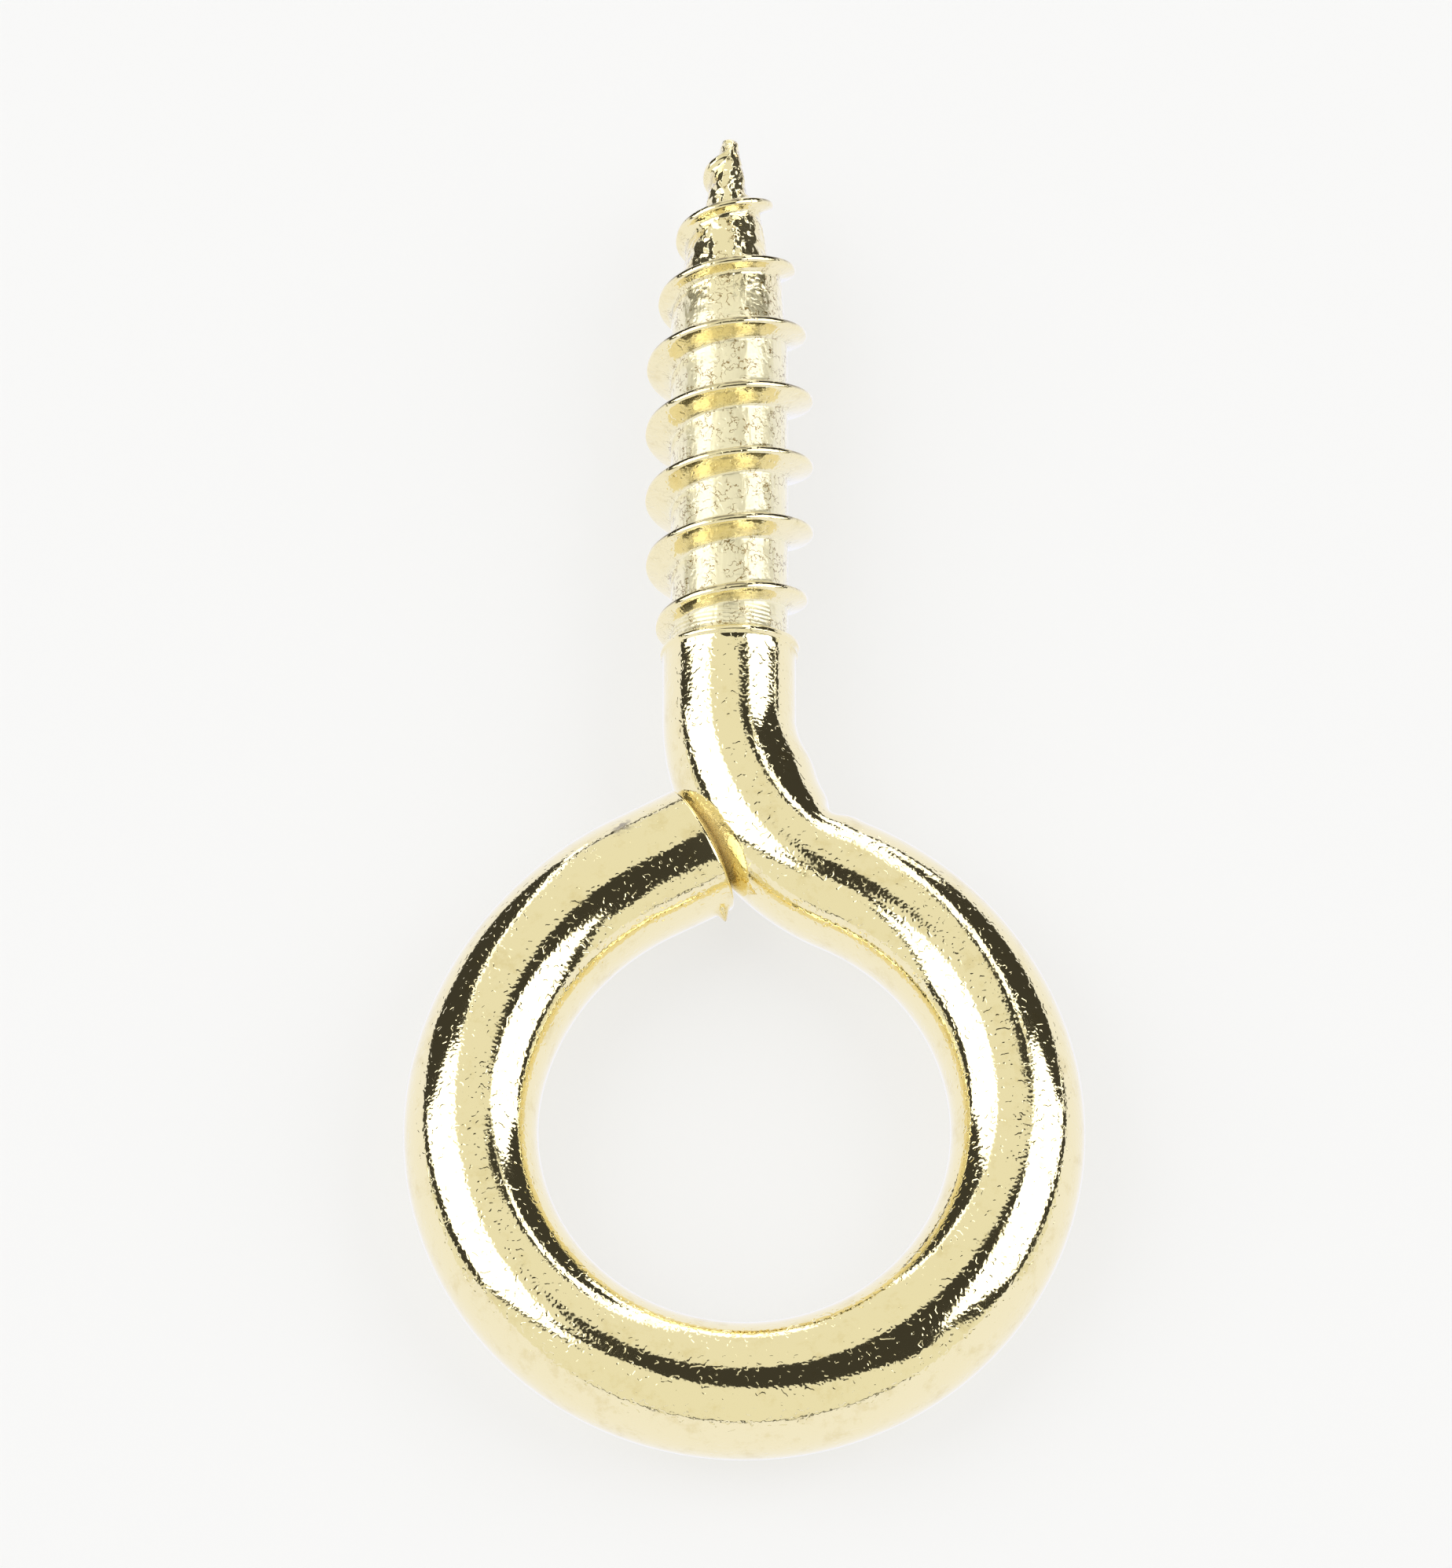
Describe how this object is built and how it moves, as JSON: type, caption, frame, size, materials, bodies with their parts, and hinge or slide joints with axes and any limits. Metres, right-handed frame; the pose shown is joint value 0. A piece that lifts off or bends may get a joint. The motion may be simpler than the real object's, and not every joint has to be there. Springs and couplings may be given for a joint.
{
  "type": "screw eye",
  "caption": "Screw eye of brass-plated wire: a closed ring bent from one end, a short plain neck and a coarse right-hand wood-screw thread with a gimlet point.",
  "frame": {"origin": "centre of the eye, on the centre-line of the wire", "axes": "+Y along the shank towards the point, +Z through the eye, +X to the right when the point is up"},
  "size_m": [0.0134, 0.0283, 0.0034],
  "materials": {
    "brass_plate": "bright electroplate on drawn steel wire"
  },
  "bodies": {
    "root": {"screw_eye": "brass_plate"}
  },
  "joints": []
}
